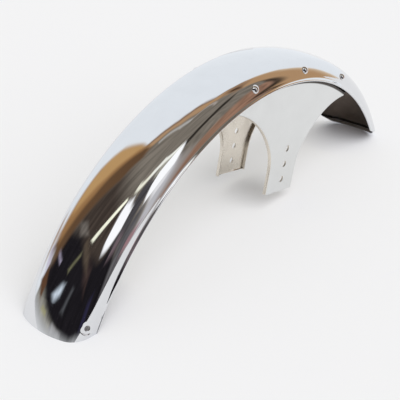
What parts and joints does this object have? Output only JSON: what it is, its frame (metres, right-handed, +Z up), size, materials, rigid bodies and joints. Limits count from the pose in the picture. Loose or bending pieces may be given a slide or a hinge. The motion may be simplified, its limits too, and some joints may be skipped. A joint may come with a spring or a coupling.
{
  "type": "motorcycle front mudguard",
  "caption": "Arched plated front mudguard with rolled edges, a turned-in front lip and T-shaped fork brackets riveted inside its flanks.",
  "frame": {"origin": "on the surface that the mudguard stands on, below the middle of its length and width", "axes": "+X forwards along the motorcycle, +Y to the rider's left, +Z up with both ends of the blade down"},
  "size_m": [0.6638, 0.0948, 0.2021],
  "materials": {
    "blade_chrome": "bright chrome plate on pressed steel sheet",
    "bracket_chrome": "bright chrome plate on pressed steel plate",
    "rivet_chrome": "polished round-head steel rivet"
  },
  "bodies": {
    "root": {"blade": "blade_chrome", "left_bracket": "bracket_chrome", "right_bracket": "bracket_chrome", "left_rivets": "rivet_chrome", "right_rivets": "rivet_chrome"}
  },
  "joints": []
}
